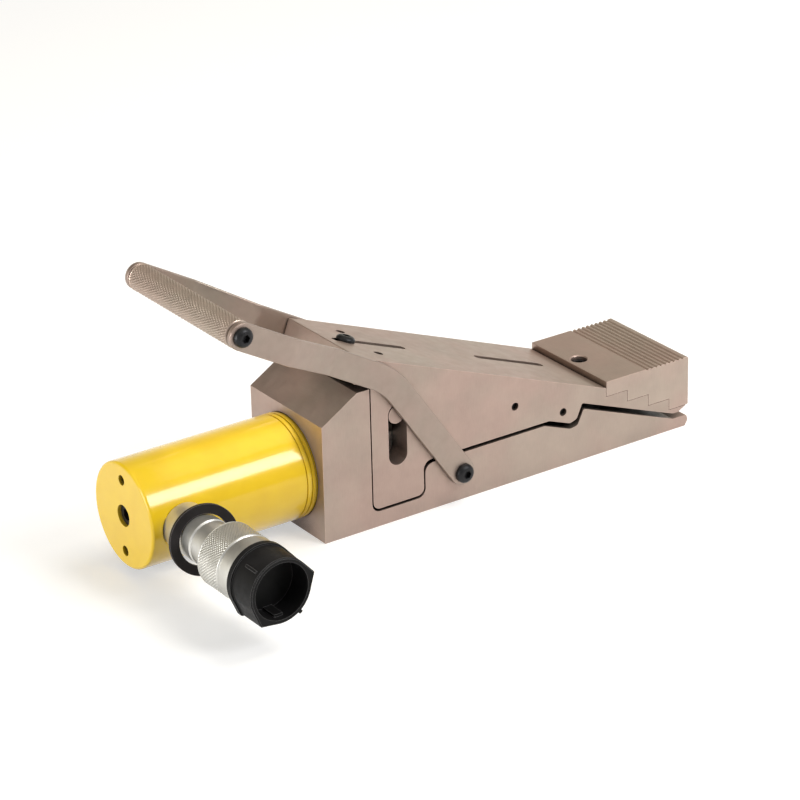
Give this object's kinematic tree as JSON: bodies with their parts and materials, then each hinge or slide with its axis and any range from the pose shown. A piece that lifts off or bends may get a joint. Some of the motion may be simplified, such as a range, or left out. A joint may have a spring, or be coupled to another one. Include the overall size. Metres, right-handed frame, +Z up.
{
  "type": "hydraulic wedge spreader",
  "caption": "Hand-carried hydraulic spreader: a cylinder drives a wedge that lifts a sloped, stepped upper jaw off a flat lower jaw, with a swinging carry handle.",
  "frame": {"origin": "centre of the body's flat underside", "axes": "+X forward to the jaws' tip, +Y to the tool's left, +Z up"},
  "size_m": [0.3375, 0.1704, 0.1434],
  "materials": {
    "coated_steel": "satin phosphate",
    "machined_steel": "ground",
    "yellow_paint": "gloss",
    "black_steel": "black oxide",
    "bronze": "satin",
    "rubber": "matte",
    "black_plastic": "matte"
  },
  "bodies": {
    "base": {"main_body": "coated_steel", "retaining_pin": "machined_steel", "jaw_springs": "machined_steel", "cylinder_barrel": "yellow_paint", "gland_nut": "machined_steel", "wiper_seal": "rubber", "plunger_spring": "machined_steel", "anchor_bolt": "black_steel", "rear_spring_plug": "machined_steel", "coupler_nipple": "machined_steel", "coupler_body": "machined_steel", "collar_snap_ring": "machined_steel", "valve_spring": "machined_steel", "coupler_seal": "rubber", "pivot_screws": "black_steel", "pivot_bushes": "machined_steel", "pivot_washers": "machined_steel"},
    "drive": {"plunger": "machined_steel", "piston_seal": "rubber", "piston_bearing": "bronze", "front_spring_plug": "machined_steel", "plunger_nose": "machined_steel", "drive_wedge": "machined_steel"},
    "jaw": {"upper_jaw": "coated_steel", "jaw_ramp": "machined_steel", "jaw_dowels": "black_steel", "step_block": "coated_steel", "step_block_screw": "black_steel", "slot_screw": "black_steel", "slot_nut": "black_steel", "spring_screws": "black_steel"},
    "handle": {"handle_arm_right": "coated_steel", "handle_arm_left": "coated_steel", "grip_bar": "coated_steel", "grip_screws": "black_steel"},
    "collar": {"coupler_collar": "machined_steel"},
    "valve": {"coupler_valve": "machined_steel"},
    "cap": {"dust_cap": "black_plastic"},
    "ring": {"tether_ring": "rubber"}
  },
  "joints": [
    {"name": "wedge_slide", "type": "slide", "parent": "base", "child": "drive", "axis": [1, 0, 0], "range_m": [0, 0.054], "stiffness_N_per_m": 1500, "springref_m": -0.03, "deforming": ["plunger_spring"]},
    {"name": "jaw_lift", "type": "slide", "parent": "base", "child": "jaw", "axis": [0, 0, 1], "range_m": [0, 0.0206], "stiffness_N_per_m": 1000, "springref_m": -0.01, "deforming": ["jaw_springs"]},
    {"name": "handle_swing", "type": "hinge", "parent": "base", "child": "handle", "pos_m": [-0.0342, 0, 0.017], "axis": [0, 1, 0], "range_deg": [-24, 140]},
    {"name": "collar_spin", "type": "hinge", "parent": "base", "child": "collar", "pos_m": [-0.199, -0.06, 0.0327], "axis": [0, -1, 0], "continuous": true},
    {"name": "valve_push", "type": "slide", "parent": "base", "child": "valve", "axis": [0, 1, 0], "range_m": [0, 0.003], "stiffness_N_per_m": 800, "springref_m": -0.003, "deforming": ["valve_spring"]},
    {"name": "cap_pull", "type": "slide", "parent": "base", "child": "cap", "axis": [0, -1, 0], "range_m": [0, 0.03]},
    {"name": "ring_turn", "type": "hinge", "parent": "base", "child": "ring", "pos_m": [-0.199, -0.0462, 0.0327], "axis": [0, -1, 0], "continuous": true}
  ],
  "couplings": [
    {"joint": "jaw_lift", "follows": "wedge_slide", "ratio": 0.37986}
  ]
}
